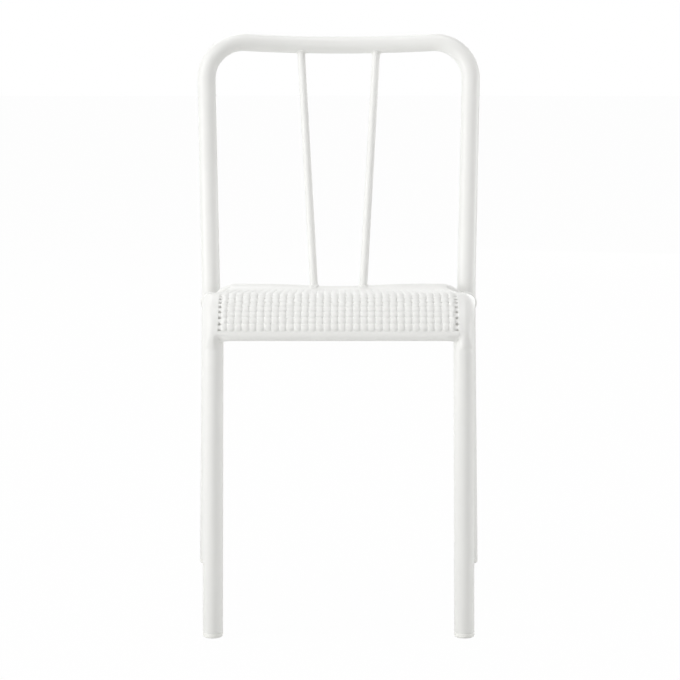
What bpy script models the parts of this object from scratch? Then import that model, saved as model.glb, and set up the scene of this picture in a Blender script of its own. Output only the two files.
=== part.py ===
"""A dining chair of bent steel tube with a woven metal seat.

Metres, +Z up. The front faces -Y. The origin is on the floor, under the middle of the chair.
Depths are measured backwards from the axis of the front legs.
"""

import math

import bmesh
import bpy
from mathutils import Vector

# Stock
TUBE_DIAMETER = 0.028
TUBE_WALL = 0.0015
ROD_DIAMETER = 0.012
TUBE_SIDES = 20
ROD_SIDES = 12
BEND_STEP = math.radians(11)
WELD_GAP = 0.0003
COPE_END_SHARE = 0.6

# Front legs and side rails
FRONT_FOOT_HALF_SPREAD = 0.1735
KNEE_HALF_SPREAD = 0.170
KNEE_RADIUS = 0.0563
RAIL_CREST_AXIS_HEIGHT = 0.450
SIDE_RAIL_FALL = math.radians(4.8)

# Rear frame
OVERALL_HEIGHT = 0.8285
REAR_FOOT_DEPTH = 0.4723
REAR_FOOT_HALF_SPREAD = 0.2055
WAIST_DEPTH = 0.3845
WAIST_ABOVE_SIDE_RAIL = 0.0174
WAIST_HALF_SPREAD = 0.1940
WAIST_BEND_RADIUS = 0.120
BACK_TOP_DEPTH = 0.475
BACK_TOP_HALF_SPREAD = 0.2040
TOP_CORNER_RADIUS = 0.058
TOP_RAIL_BOW = 0.0165
TOP_RAIL_SPANS = 8
PAST_CORNER_SHARE = 1.3

# Thin rods of the seat and the back
FRONT_RAIL_TURN = math.radians(68.5)
REAR_RAIL_AHEAD_OF_WAIST = 0.0225
REAR_RAIL_ABOVE_SIDE_RAIL = 0.0225
REAR_RAIL_BEND_INSET = 0.0371
REAR_RAIL_END_RADIUS = 0.034
REAR_RAIL_END_TURN = math.radians(64)
REAR_RAIL_DIP = 0.0035
REAR_RAIL_DIP_HALF_SPAN = 0.120
REAR_RAIL_SPANS = 10
REAR_RAIL_END_STEPS = 6
CROSSBAR_DEPTH = 0.205
SPINDLE_TOP_HALF_SPREAD = 0.0586
SPINDLE_FOOT_HALF_SPREAD = 0.0370

# Woven seat
MAT_THICKNESS = 0.0034
MAT_CLEARANCE = 0.0006
MAT_FRONT_TURN = math.radians(69.6)
MAT_SIDE_OVERHANG = 0.0015
STRAND_PITCH = 0.01009
GAP_WIDTH = 0.0012
SIDE_GAP_WIDTH = 0.0045
STRANDS_PER_GAP_ROW = 4
LEAST_SIDE_MARGIN = 0.0055
FRONT_MARGIN = 0.0058
LEAST_REAR_MARGIN = 0.021
REAR_MARGIN_STEPS = 3
CROSS_STRAND_DROP = 0.0010
MAT_BEND_STEP = 0.0125

# Foot plugs
PLUG_RIM_HEIGHT = 0.007
PLUG_RIM_ROUND = 0.003
PLUG_ROUND_STEPS = 3
PLUG_STEM_LENGTH = 0.022
PLUG_BORE_CLEARANCE = 0.0003
PLUG_RIB_DEPTH = 0.0012
PLUG_RIB_COUNT = 2
PLUG_RIB_SHARE = 0.6
PLUG_SIDES = 20

TUBE_RADIUS = TUBE_DIAMETER / 2
BORE_RADIUS = TUBE_RADIUS - TUBE_WALL
ROD_RADIUS = ROD_DIAMETER / 2
LEG_END_HEIGHT = PLUG_RIM_HEIGHT + WELD_GAP
KNEE_CENTRE_HEIGHT = RAIL_CREST_AXIS_HEIGHT - KNEE_RADIUS
CROWN_RADIUS = KNEE_RADIUS + TUBE_RADIUS
REAR_RAIL_DEPTH = WAIST_DEPTH - REAR_RAIL_AHEAD_OF_WAIST
MAT_TOP_RADIUS = CROWN_RADIUS + MAT_CLEARANCE + MAT_THICKNESS


# Scene


def clear_scene():
    for found in list(bpy.data.objects):
        bpy.data.objects.remove(found, do_unlink=True)


def make_material(name, colour, roughness, metallic):
    material = bpy.data.materials.new(name)
    material.use_nodes = True
    shader = material.node_tree.nodes["Principled BSDF"]
    shader.inputs["Base Color"].default_value = (*colour, 1.0)
    shader.inputs["Roughness"].default_value = roughness
    shader.inputs["Metallic"].default_value = metallic
    material.diffuse_color = (*colour, 1.0)
    return material


def make_object(name, mesh_builder, material):
    """A mesh object from a bmesh, with its faces pointing out and round faces shaded smooth."""
    bmesh.ops.recalc_face_normals(mesh_builder, faces=mesh_builder.faces)
    mesh = bpy.data.meshes.new(name)
    mesh_builder.to_mesh(mesh)
    mesh_builder.free()
    mesh.shade_smooth()
    mesh.set_sharp_from_angle(angle=math.radians(40))
    made = bpy.data.objects.new(name, mesh)
    bpy.context.scene.collection.objects.link(made)
    if material:
        mesh.materials.append(material)
    return made


def make_cutter(name, mesh_builder):
    cutter = make_object(name, mesh_builder, None)
    cutter.hide_render = True
    cutter.display_type = "WIRE"
    return cutter


def cut(target, cutter):
    """Copes the target where the cutter passes through it."""
    boolean = target.modifiers.new("Cope " + cutter.name, "BOOLEAN")
    boolean.operation = "DIFFERENCE"
    boolean.object = cutter
    boolean.solver = "EXACT"


# Paths


def rounded_path(corners, radii):
    """Points along straight runs whose inner corners are rounded to the given radii."""
    points = [corners[0].copy()]
    for before, corner, after, radius in zip(corners, corners[1:], corners[2:], radii):
        incoming = (corner - before).normalized()
        outgoing = (after - corner).normalized()
        turn = incoming.angle(outgoing)
        setback = radius * math.tan(turn / 2)
        start = corner - incoming * setback
        inward = (outgoing - incoming * incoming.dot(outgoing)).normalized()
        centre = start + inward * radius
        steps = max(2, round(turn / BEND_STEP))
        for step in range(steps + 1):
            angle = turn * step / steps
            points.append(centre - inward * radius * math.cos(angle) + incoming * radius * math.sin(angle))
    points.append(corners[-1].copy())
    return points


def mirrored(points):
    return [Vector((-point.x, point.y, point.z)) for point in points]


def side_rail_half_spread(depth):
    return KNEE_HALF_SPREAD + (WAIST_HALF_SPREAD - KNEE_HALF_SPREAD) * depth / WAIST_DEPTH


def side_rail_axis_height(depth):
    """Height of the side rail's axis behind the crest of the knee."""
    at_centre = KNEE_CENTRE_HEIGHT + KNEE_RADIUS / math.cos(SIDE_RAIL_FALL)
    return at_centre - (depth - KNEE_RADIUS) * math.tan(SIDE_RAIL_FALL)


def front_leg_axis(side):
    """From the floor to the corner that the knee's bend rounds off."""
    floor = Vector((side * FRONT_FOOT_HALF_SPREAD, 0, 0))
    return floor, Vector((side * KNEE_HALF_SPREAD, 0, side_rail_axis_height(0)))


def rear_leg_axis(side):
    """From the floor to the corner that the waist's bend rounds off, where the side rail ends."""
    floor = Vector((side * REAR_FOOT_HALF_SPREAD, REAR_FOOT_DEPTH, 0))
    height = side_rail_axis_height(WAIST_DEPTH) + WAIST_ABOVE_SIDE_RAIL
    return floor, Vector((side * WAIST_HALF_SPREAD, WAIST_DEPTH, height))


def tube_end(floor, above):
    """Where the leg's tube stops, on top of the foot plug's rim."""
    return floor + (above - floor) * (LEG_END_HEIGHT / above.z)


def side_frame_path(side):
    """Up the front leg, round the knee and back to just before the upright's axis."""
    floor, knee = front_leg_axis(side)
    end_depth = WAIST_DEPTH - TUBE_RADIUS * COPE_END_SHARE
    rear = Vector((side * side_rail_half_spread(end_depth), end_depth, side_rail_axis_height(end_depth)))
    return rounded_path([tube_end(floor, knee), knee, rear], [KNEE_RADIUS])


def back_lean():
    """How far the back leans from upright."""
    _, waist = rear_leg_axis(1)
    return math.atan2(BACK_TOP_DEPTH - waist.y, OVERALL_HEIGHT - TUBE_RADIUS - waist.z)


def top_rail_point(across):
    """A point on the top rail's axis: bowed square to the back, and straight past the bow's ends."""
    half_span = BACK_TOP_HALF_SPREAD - TOP_CORNER_RADIUS
    past = abs(across) - half_span
    if past > 0:
        bow = -past * 2 * TOP_RAIL_BOW / half_span
    else:
        bow = TOP_RAIL_BOW * (1 - (across / half_span) ** 2)
    backwards = Vector((0, math.cos(back_lean()), -math.sin(back_lean())))
    return Vector((across, BACK_TOP_DEPTH, OVERALL_HEIGHT - TUBE_RADIUS)) + backwards * bow


def rear_frame_path():
    """Up the left rear leg and upright, over the top rail and down the right side."""
    floor, waist = rear_leg_axis(-1)
    corner = top_rail_point(-BACK_TOP_HALF_SPREAD)
    past_corner_bend = BACK_TOP_HALF_SPREAD - TOP_CORNER_RADIUS * PAST_CORNER_SHARE
    corners = [tube_end(floor, waist), waist, corner, top_rail_point(-past_corner_bend)]
    left = rounded_path(corners, [WAIST_BEND_RADIUS, TOP_CORNER_RADIUS])
    shares = [2 * step / TOP_RAIL_SPANS - 1 for step in range(1, TOP_RAIL_SPANS)]
    bowed = [top_rail_point(past_corner_bend * share) for share in shares]
    return left + bowed + mirrored(left)[::-1]


def rear_rail_bend_start():
    """How far from the middle the rear rail starts to bend down onto the side rail."""
    return side_rail_half_spread(REAR_RAIL_DEPTH) - REAR_RAIL_BEND_INSET


def rear_rail_height(across):
    """Height of the rear rail's axis: a slight dip in the middle, and ends that bend down."""
    dip_share = min(abs(across) / REAR_RAIL_DIP_HALF_SPAN, 1)
    dip = REAR_RAIL_DIP * (1 + math.cos(math.pi * dip_share)) / 2
    past = min(max(abs(across) - rear_rail_bend_start(), 0), REAR_RAIL_END_RADIUS)
    drop = REAR_RAIL_END_RADIUS - math.sqrt(REAR_RAIL_END_RADIUS**2 - past**2)
    return side_rail_axis_height(REAR_RAIL_DEPTH) + REAR_RAIL_ABOVE_SIDE_RAIL - dip - drop


def rear_rail_path():
    bend_start = rear_rail_bend_start()
    half = [bend_start * step / REAR_RAIL_SPANS for step in range(REAR_RAIL_SPANS + 1)]
    for step in range(1, REAR_RAIL_END_STEPS + 1):
        turn = REAR_RAIL_END_TURN * step / REAR_RAIL_END_STEPS
        half.append(bend_start + REAR_RAIL_END_RADIUS * math.sin(turn))
    across = [-x for x in half[:0:-1]] + half
    return [Vector((x, REAR_RAIL_DEPTH, rear_rail_height(x))) for x in across]


# Swept solids


def ring_around(point, direction, reference, radius, sides):
    """Points of a circle around a path, square to it."""
    first = (reference - direction * reference.dot(direction)).normalized()
    second = direction.cross(first)
    return [
        point + first * (radius * math.cos(angle)) + second * (radius * math.sin(angle))
        for angle in (math.tau * step / sides for step in range(sides))
    ]


def level_with(ring, direction, height):
    """Slides a ring's points along the tube until they all lie at one height, for a foot cut level."""
    return [point + direction * ((height - point.z) / direction.z) for point in ring]


def sweep_rings(path, radius, sides, level_ends):
    """One ring for each point of the path, kept from twisting along it."""
    directions = [(after - before).normalized() for before, after in zip(path, path[1:])]
    runs_across = abs(directions[0].x) > abs(directions[0].z)
    reference = Vector((0, 0, 1)) if runs_across else Vector((1, 0, 0))
    rings = []
    for index, point in enumerate(path):
        arriving = directions[max(index - 1, 0)]
        leaving = directions[min(index, len(directions) - 1)]
        direction = (arriving + leaving).normalized()
        reference = arriving.rotation_difference(leaving) @ reference
        ring = ring_around(point, direction, reference, radius, sides)
        bend_axis = arriving.cross(leaving)
        if bend_axis.length > 1e-6:
            outward = bend_axis.normalized().cross(direction)
            widening = 1 / direction.dot(leaving) - 1
            ring = [p + outward * ((p - point).dot(outward) * widening) for p in ring]
        if index == 0 and "start" in level_ends:
            ring = level_with(ring, leaving, point.z)
        if index == len(path) - 1 and "end" in level_ends:
            ring = level_with(ring, arriving, point.z)
        rings.append(ring)
    return rings


def add_skin(builder, rings):
    """Faces between successive rings. Gives back the first and the last ring's vertices."""
    loops = [[builder.verts.new(point) for point in ring] for ring in rings]
    for lower, upper in zip(loops, loops[1:]):
        for index in range(len(lower)):
            following = (index + 1) % len(lower)
            builder.faces.new((lower[index], lower[following], upper[following], upper[index]))
    return loops[0], loops[-1]


def join_rims(builder, outer, inner):
    for index in range(len(outer)):
        following = (index + 1) % len(outer)
        builder.faces.new((outer[index], outer[following], inner[following], inner[index]))


def swept_solid(path, radius, sides, level_ends=()):
    builder = bmesh.new()
    first, last = add_skin(builder, sweep_rings(path, radius, sides, level_ends))
    builder.faces.new(first)
    builder.faces.new(last)
    return builder


def swept_tube(path, level_ends):
    """A tube with its wall, open at both ends."""
    builder = bmesh.new()
    outer = add_skin(builder, sweep_rings(path, TUBE_RADIUS, TUBE_SIDES, level_ends))
    inner = add_skin(builder, sweep_rings(path, BORE_RADIUS, TUBE_SIDES, level_ends))
    for outer_end, inner_end in zip(outer, inner):
        join_rims(builder, outer_end, inner_end)
    return builder


# Frame


def make_rear_frame(material):
    frame = make_object("rear_frame", swept_tube(rear_frame_path(), ("start", "end")), material)
    around = swept_solid(rear_frame_path(), TUBE_RADIUS + WELD_GAP, TUBE_SIDES)
    return frame, make_cutter("around_rear_frame", around)


def make_side_frame(name, side, material, around_rear_frame):
    frame = make_object(name, swept_tube(side_frame_path(side), ("start",)), material)
    cut(frame, around_rear_frame)
    around = swept_solid(side_frame_path(side), TUBE_RADIUS + WELD_GAP, TUBE_SIDES)
    return frame, make_cutter("around_" + name, around)


def rod_between_side_frames(name, depth, height, material, side_cutters):
    """A straight rod whose ends are coped to the side frames."""
    reach = side_rail_half_spread(max(depth, 0)) - TUBE_RADIUS * COPE_END_SHARE
    path = [Vector((-reach, depth, height)), Vector((reach, depth, height))]
    rod = make_object(name, swept_solid(path, ROD_RADIUS, ROD_SIDES), material)
    for cutter in side_cutters:
        cut(rod, cutter)
    return rod


def make_front_rail(material, side_cutters):
    """Lies inside the mat's curved front, level with the crowns of the side tubes."""
    axis_radius = CROWN_RADIUS - ROD_RADIUS
    depth = KNEE_RADIUS - axis_radius * math.sin(FRONT_RAIL_TURN)
    height = KNEE_CENTRE_HEIGHT + axis_radius * math.cos(FRONT_RAIL_TURN)
    return rod_between_side_frames("front_rail", depth, height, material, side_cutters)


def make_crossbar(material, side_cutters):
    """Its top is level with the crowns of the side rails, right under the mat."""
    crown_offset = (TUBE_RADIUS - ROD_RADIUS) / math.cos(SIDE_RAIL_FALL)
    height = side_rail_axis_height(CROSSBAR_DEPTH) + crown_offset
    return rod_between_side_frames("seat_crossbar", CROSSBAR_DEPTH, height, material, side_cutters)


def make_rear_rail(material, side_cutters):
    rail = make_object("rear_rail", swept_solid(rear_rail_path(), ROD_RADIUS, ROD_SIDES), material)
    for cutter in side_cutters:
        cut(rail, cutter)
    around = swept_solid(rear_rail_path(), ROD_RADIUS + WELD_GAP, ROD_SIDES)
    return rail, make_cutter("around_rear_rail", around)


def make_spindle(name, side, material, around_rear_frame, around_rear_rail):
    """A straight rod from the rear rail up to the top rail, coped to both."""
    foot_across = side * SPINDLE_FOOT_HALF_SPREAD
    foot = Vector((foot_across, REAR_RAIL_DEPTH, rear_rail_height(foot_across)))
    top = top_rail_point(side * SPINDLE_TOP_HALF_SPREAD)
    up = (top - foot).normalized()
    path = [foot + up * (ROD_RADIUS * COPE_END_SHARE), top - up * (TUBE_RADIUS * COPE_END_SHARE)]
    rod = make_object(name, swept_solid(path, ROD_RADIUS, ROD_SIDES), material)
    cut(rod, around_rear_frame)
    cut(rod, around_rear_rail)
    return rod


# Woven seat


def mat_curve_length():
    """How far the mat's curved front reaches, measured along its top."""
    return MAT_TOP_RADIUS * (MAT_FRONT_TURN + SIDE_RAIL_FALL)


def mat_profile(along):
    """Depth, height and upward direction of the mat's top face, by its distance from the front edge."""
    turn = MAT_FRONT_TURN - min(along, mat_curve_length()) / MAT_TOP_RADIUS
    up = Vector((0, -math.sin(turn), math.cos(turn)))
    point = Vector((0, KNEE_RADIUS, KNEE_CENTRE_HEIGHT)) + up * MAT_TOP_RADIUS
    backwards = Vector((0, math.cos(turn), math.sin(turn)))
    return point + backwards * max(along - mat_curve_length(), 0), up


def mat_length():
    """From the front edge to the rear rail."""
    curve_end = KNEE_RADIUS + MAT_TOP_RADIUS * math.sin(SIDE_RAIL_FALL)
    rear_edge = REAR_RAIL_DEPTH - ROD_RADIUS - WELD_GAP
    return mat_curve_length() + (rear_edge - curve_end) / math.cos(SIDE_RAIL_FALL)


def mat_gap_rows():
    """How many rows of gaps fit between the front and rear margins, and where the last one ends."""
    row_pitch = STRANDS_PER_GAP_ROW * STRAND_PITCH
    strand = STRAND_PITCH - GAP_WIDTH
    count = math.floor((mat_length() - FRONT_MARGIN - LEAST_REAR_MARGIN + strand) / row_pitch)
    return count, FRONT_MARGIN + count * row_pitch - strand


def mat_lift(across, along):
    """The mat's rear margin curls up to meet the rear rail at the height of its axis."""
    _, curl_start = mat_gap_rows()
    edge, _ = mat_profile(mat_length())
    rise = max(rear_rail_height(across) + MAT_THICKNESS / 2 - edge.z, 0)
    share = max((along - curl_start) / (mat_length() - curl_start), 0)
    return rise * share * share * (3 - 2 * share)


def mat_rows():
    """Distances from the front edge of the lines across the mat, and what each stretch is."""
    lines = [0.0, FRONT_MARGIN]
    kinds = ["margin"]
    gap_rows, _ = mat_gap_rows()
    gap_length = STRANDS_PER_GAP_ROW * STRAND_PITCH - (STRAND_PITCH - GAP_WIDTH)
    curved = mat_curve_length()
    for row in range(gap_rows):
        start = lines[-1]
        end = start + gap_length
        bend_end = min(end, curved)
        steps = math.ceil((bend_end - start) / MAT_BEND_STEP) if start < curved else 0
        for step in range(1, steps + 1):
            lines.append(start + (bend_end - start) * step / steps)
            kinds.append("gap")
        if end > bend_end or not steps:
            lines.append(end)
            kinds.append("gap")
        if row < gap_rows - 1:
            lines.append(lines[-1] + STRAND_PITCH - GAP_WIDTH)
            kinds.append("strand")
    start = lines[-1]
    for step in range(1, REAR_MARGIN_STEPS + 1):
        lines.append(start + (mat_length() - start) * step / REAR_MARGIN_STEPS)
        kinds.append("margin")
    return lines, kinds


def mat_columns():
    """Distances from the middle of the lines along the mat's gaps; the side edges are found apart.

    The weave is close, but for the wider gaps beside the side tubes.
    """
    room = KNEE_HALF_SPREAD + MAT_SIDE_OVERHANG - LEAST_SIDE_MARGIN - SIDE_GAP_WIDTH / 2
    columns_each_side = math.floor(room / STRAND_PITCH)
    lines = []
    for column in range(-columns_each_side, columns_each_side + 1):
        middle = STRAND_PITCH * column
        width = SIDE_GAP_WIDTH if abs(column) == columns_each_side else GAP_WIDTH
        lines += [middle - width / 2, middle + width / 2]
    return lines


def make_seat_mat(material):
    """Ribs from front to back, joined by lower cross strands, in one curved sheet."""
    builder = bmesh.new()
    rows, row_kinds = mat_rows()
    inner_columns = mat_columns()
    column_count = len(inner_columns) + 1
    bottom, middle, top = 0, 1, 2
    drops = {bottom: MAT_THICKNESS, middle: CROSS_STRAND_DROP, top: 0.0}
    made = {}

    def level_of(column, row):
        """How high the cell stands, or bottom where it is open."""
        if not (0 <= column < column_count and 0 <= row < len(row_kinds)):
            return bottom
        if column % 2 == 0 or row_kinds[row] == "margin":
            return top
        return middle if row_kinds[row] == "strand" else bottom

    def vertex(column_line, row_line, level):
        key = (column_line, row_line, level)
        if key not in made:
            point, up = mat_profile(rows[row_line])
            if 0 < column_line < column_count:
                across = inner_columns[column_line - 1]
            else:
                edge = side_rail_half_spread(max(point.y, 0)) + MAT_SIDE_OVERHANG
                across = edge if column_line else -edge
            lifted = Vector((across, point.y, point.z + mat_lift(across, rows[row_line])))
            made[key] = builder.verts.new(lifted - up * drops[level])
        return made[key]

    def meets_strand(column_line, row_line):
        around = [(column_line - i, row_line - j) for i in (0, 1) for j in (0, 1)]
        return any(level_of(*cell) == middle for cell in around)

    def add_wall(start, end, low, high):
        face = [vertex(*start, low)]
        if low < middle < high and meets_strand(*start):
            face.append(vertex(*start, middle))
        face += [vertex(*start, high), vertex(*end, high)]
        if low < middle < high and meets_strand(*end):
            face.append(vertex(*end, middle))
        face.append(vertex(*end, low))
        builder.faces.new(face)

    for column in range(-1, column_count):
        for row in range(-1, len(row_kinds)):
            here = level_of(column, row)
            if here != bottom:
                cell = [(column, row), (column + 1, row), (column + 1, row + 1), (column, row + 1)]
                builder.faces.new([vertex(*corner, here) for corner in cell])
                builder.faces.new([vertex(*corner, bottom) for corner in cell])
            beside = level_of(column + 1, row)
            if here != beside:
                low, high = sorted((here, beside))
                add_wall((column + 1, row), (column + 1, row + 1), low, high)
            behind = level_of(column, row + 1)
            if here != behind:
                low, high = sorted((here, behind))
                add_wall((column, row + 1), (column + 1, row + 1), low, high)
    return make_object("seat_mat", builder, material)


# Foot plugs


def make_foot_plug(name, floor, above, material):
    """A rim that stands on the floor and a ribbed stem in the leg's bore, both in line with the leg."""
    direction = (above - floor).normalized()
    stem_radius = BORE_RADIUS - PLUG_BORE_CLEARANCE
    core_radius = stem_radius - PLUG_RIB_DEPTH
    profile = []
    for step in range(PLUG_ROUND_STEPS + 1):
        turn = math.radians(90) * step / PLUG_ROUND_STEPS
        inset = PLUG_RIM_ROUND * (1 - math.sin(turn))
        profile.append((PLUG_RIM_ROUND * (1 - math.cos(turn)), TUBE_RADIUS - inset))
    profile += [(PLUG_RIM_HEIGHT, TUBE_RADIUS), (PLUG_RIM_HEIGHT, core_radius)]
    rib_pitch = PLUG_STEM_LENGTH / (PLUG_RIB_COUNT + 1)
    for rib in range(PLUG_RIB_COUNT):
        start = PLUG_RIM_HEIGHT + rib_pitch * (rib + 1 - PLUG_RIB_SHARE / 2)
        profile += [
            (start, core_radius),
            (start, stem_radius),
            (start + rib_pitch * PLUG_RIB_SHARE, core_radius),
        ]
    profile.append((PLUG_RIM_HEIGHT + PLUG_STEM_LENGTH, core_radius))
    rings = []
    for height, radius in profile:
        centre = floor + direction * (height / direction.z)
        ring = ring_around(centre, direction, Vector((1, 0, 0)), radius, PLUG_SIDES)
        rings.append(level_with(ring, direction, height))
    builder = bmesh.new()
    first, last = add_skin(builder, rings)
    builder.faces.new(first)
    builder.faces.new(last)
    return make_object(name, builder, material)


def make_foot_plugs(material):
    plugs = []
    for side, word in ((-1, "left"), (1, "right")):
        plugs.append(make_foot_plug("foot_plug_front_" + word, *front_leg_axis(side), material))
        plugs.append(make_foot_plug("foot_plug_rear_" + word, *rear_leg_axis(side), material))
    return plugs


# Chair


def lowest_and_highest_depth(parts):
    bpy.context.view_layer.update()
    graph = bpy.context.evaluated_depsgraph_get()
    depths = []
    for part in parts:
        corners = part.evaluated_get(graph).bound_box
        depths += [corner[1] for corner in corners]
    return min(depths), max(depths)


def make_chair():
    clear_scene()
    paint = make_material("white_powder_coat", (0.87, 0.87, 0.85), 0.38, 0.0)
    mat_paint = make_material("white_woven_metal", (0.86, 0.86, 0.84), 0.45, 0.0)
    plastic = make_material("pale_foot_plastic", (0.62, 0.62, 0.60), 0.5, 0.0)

    rear_frame, around_rear_frame = make_rear_frame(paint)
    left_frame, around_left = make_side_frame("side_frame_left", -1, paint, around_rear_frame)
    right_frame, around_right = make_side_frame("side_frame_right", 1, paint, around_rear_frame)
    side_cutters = [around_left, around_right]
    rear_rail, around_rear_rail = make_rear_rail(paint, side_cutters)
    parts = [
        rear_frame,
        left_frame,
        right_frame,
        rear_rail,
        make_front_rail(paint, side_cutters),
        make_crossbar(paint, side_cutters),
        make_spindle("spindle_left", -1, paint, around_rear_frame, around_rear_rail),
        make_spindle("spindle_right", 1, paint, around_rear_frame, around_rear_rail),
        make_seat_mat(mat_paint),
    ]
    parts += make_foot_plugs(plastic)

    nearest, farthest = lowest_and_highest_depth(parts)
    chair = bpy.data.objects.new("chair", None)
    bpy.context.scene.collection.objects.link(chair)
    chair.location.y = -(nearest + farthest) / 2
    for part in parts + side_cutters + [around_rear_frame, around_rear_rail]:
        part.parent = chair


make_chair()
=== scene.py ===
"""A white dining chair of bent steel tube with a woven metal seat, in a plain pale studio.

Metres, +Z up, the chair's front towards -Y. Depths are measured backwards from the axis of the
front legs, and distances along the seat from the mat's front edge, over its curve.
"""

import math
import random

import bmesh
import bpy
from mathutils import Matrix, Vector
from mathutils.bvhtree import BVHTree

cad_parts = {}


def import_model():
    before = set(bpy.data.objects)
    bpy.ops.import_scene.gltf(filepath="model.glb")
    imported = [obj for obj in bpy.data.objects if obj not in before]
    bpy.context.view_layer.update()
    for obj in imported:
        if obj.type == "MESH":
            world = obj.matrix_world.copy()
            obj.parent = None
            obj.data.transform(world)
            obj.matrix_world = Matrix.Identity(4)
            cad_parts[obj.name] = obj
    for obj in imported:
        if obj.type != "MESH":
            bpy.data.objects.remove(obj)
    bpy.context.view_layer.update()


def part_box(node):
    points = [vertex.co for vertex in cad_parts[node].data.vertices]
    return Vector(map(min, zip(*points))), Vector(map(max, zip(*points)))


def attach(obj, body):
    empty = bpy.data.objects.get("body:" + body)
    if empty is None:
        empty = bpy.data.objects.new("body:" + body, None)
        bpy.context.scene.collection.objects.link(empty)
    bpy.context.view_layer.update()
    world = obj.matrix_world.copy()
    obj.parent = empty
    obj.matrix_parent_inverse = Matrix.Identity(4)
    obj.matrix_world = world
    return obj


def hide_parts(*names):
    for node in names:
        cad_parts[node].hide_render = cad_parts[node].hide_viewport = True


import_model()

# Stock
TUBE_RADIUS = 0.014
ROD_RADIUS = 0.006
TUBE_SIDES = 64
ROD_SIDES = 40
BEND_STEP = math.radians(3)
END_CHAMFER = 0.0002
SMOOTHING_ANGLE = math.radians(50)

# Front legs and side rails
FRONT_FOOT_HALF_SPREAD = 0.1735
KNEE_HALF_SPREAD = 0.170
KNEE_RADIUS = 0.0563
RAIL_CREST_AXIS_HEIGHT = 0.450
SIDE_RAIL_FALL = math.radians(4.8)

# Rear frame
OVERALL_HEIGHT = 0.8285
REAR_FOOT_DEPTH = 0.4723
REAR_FOOT_HALF_SPREAD = 0.2055
WAIST_DEPTH = 0.3845
WAIST_ABOVE_SIDE_RAIL = 0.0174
WAIST_HALF_SPREAD = 0.1940
WAIST_BEND_RADIUS = 0.120
BACK_TOP_DEPTH = 0.475
BACK_TOP_HALF_SPREAD = 0.2040
TOP_CORNER_RADIUS = 0.058
TOP_RAIL_BOW = 0.0165
TOP_RAIL_FLATTENING = 0.06
TOP_RAIL_SPANS = 40
PAST_CORNER_SHARE = 1.3

# Thin rods of the seat and the back
FRONT_RAIL_TURN = math.radians(68.5)
REAR_RAIL_AHEAD_OF_WAIST = 0.0225
REAR_RAIL_ABOVE_SIDE_RAIL = 0.0225
REAR_RAIL_BEND_INSET = 0.0371
REAR_RAIL_END_RADIUS = 0.034
REAR_RAIL_END_TURN = math.radians(64)
REAR_RAIL_DIP = 0.0035
REAR_RAIL_DIP_HALF_SPAN = 0.120
REAR_RAIL_SPANS = 48
REAR_RAIL_END_STEPS = 20
CROSSBAR_DEPTH = 0.205
SPINDLE_TOP_HALF_SPREAD = 0.0586
SPINDLE_FOOT_HALF_SPREAD = 0.0370

# Weld beads
SIDE_RAIL_BEAD = 0.0024
SPINDLE_TOP_BEAD = 0.0017
SPINDLE_FOOT_BEAD = 0.0019
REAR_RAIL_BEAD = 0.0020
CROSS_ROD_BEAD = 0.0018
CROSS_ROD_BEAD_HALF_TURN = 2.1
CROSS_ROD_BEAD_START = 0.1
SIDE_RAIL_BEAD_SETBACK = 0.05
SIDE_RAIL_BEAD_INSET_SHARE = 0.985
SPINDLE_FOOT_BEAD_SETBACK = 0.03
REAR_RAIL_BEAD_SETBACK = 0.022
BEAD_LINE_STEP = math.radians(4)
BEAD_LINE_LEAST_STEPS = 24
BEAD_LINE_REACH = 0.2
BEAD_SIDES = 14
BEAD_STAND_OUT = 0.15
BEAD_HEIGHT_SHARE = 0.85
BEAD_WIDTH_SHARE = 1.2
BEAD_TAPER_SHARE = 0.12
BEAD_TIP_SHARE = 0.03
RIPPLE_PITCH = 0.0021
RIPPLE_STEPS = 5
RIPPLE_LEAST_COUNT = 4
RIPPLE_SWING = 0.07
SLOW_WANDER_SWING = 0.06
FAST_WANDER_SWING = 0.05

# Woven seat
MAT_THICKNESS = 0.0034
MAT_CLEARANCE = 0.0006
MAT_FRONT_TURN = math.radians(69.6)
STRAND_PITCH = 0.01005
GAP_WIDTH = 0.0005
STRAND_THICKNESS = 0.0015
STRAND_CROWN = 0.0011
STRAND_CROWN_POWER = 2.8
STRAND_CROWN_ROUND = 0.75
STRAND_CROWN_STEPS = 12
STRAND_EDGE_LEVEL = 0.3
STRAND_UNDERSIDE = ((-0.96, 0.75), (-0.80, 1), (0.80, 1), (0.96, 0.75))
STRAND_WAVE = 0.0009
STRAND_WAVE_ROUND = 0.8
STRAND_PINCH = 0.13
WEAVE_DEPTH = 0.0002
FIRST_GAP_ALONG = 0.0069
LAST_RIB_EDGE = 0.15915
SIDE_GAP_WIDTH = 0.0039
SIDE_GAP_LENGTH = 0.0041
HOLE_STEPS = 14
FRONT_HEM = 0.0048
RIB_PAIRS = 16
GAP_ROWS = 36
STRAND_STEPS = 8
WEAVE_END_MARGIN = 0.0006
TUCK_UNDER_HEM = 0.0025
HEM_SINK_LENGTH = 0.0030
HEM_FLANGE = 0.0042
HEM_FLANGE_SHEET = 0.0005
HEM_FLANGE_RISE = 0.0030
HEM_FLANGE_SIDE_SHARE = 0.35
WEAVE_SHIFT = -0.0003
BORDER_RISE = 0.0012
BORDER_ROUND = 0.0006
ROUND_MIDDLE = 0.3
BORDER_SKIN = 0.00025
BORDER_END_SHEET = 0.0008
BORDER_FADED_SHEET = 0.0005
SIDE_BORDER_STEPS = 170
SIDE_BORDER_FLAT_STEPS = 8
SIDE_BORDER_WRAP_STEPS = 14
CROSS_BORDER_STEPS = 130
CROSS_BORDER_OVERLAP = 0.0004
WRAP_TURN = math.radians(66)
SETTLE_START = 0.100
FADE_START = math.radians(66)
INNER_FADE_END = math.radians(77)
OUTER_FADE_END = math.radians(88)
LIP_TURN = math.radians(68)
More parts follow.
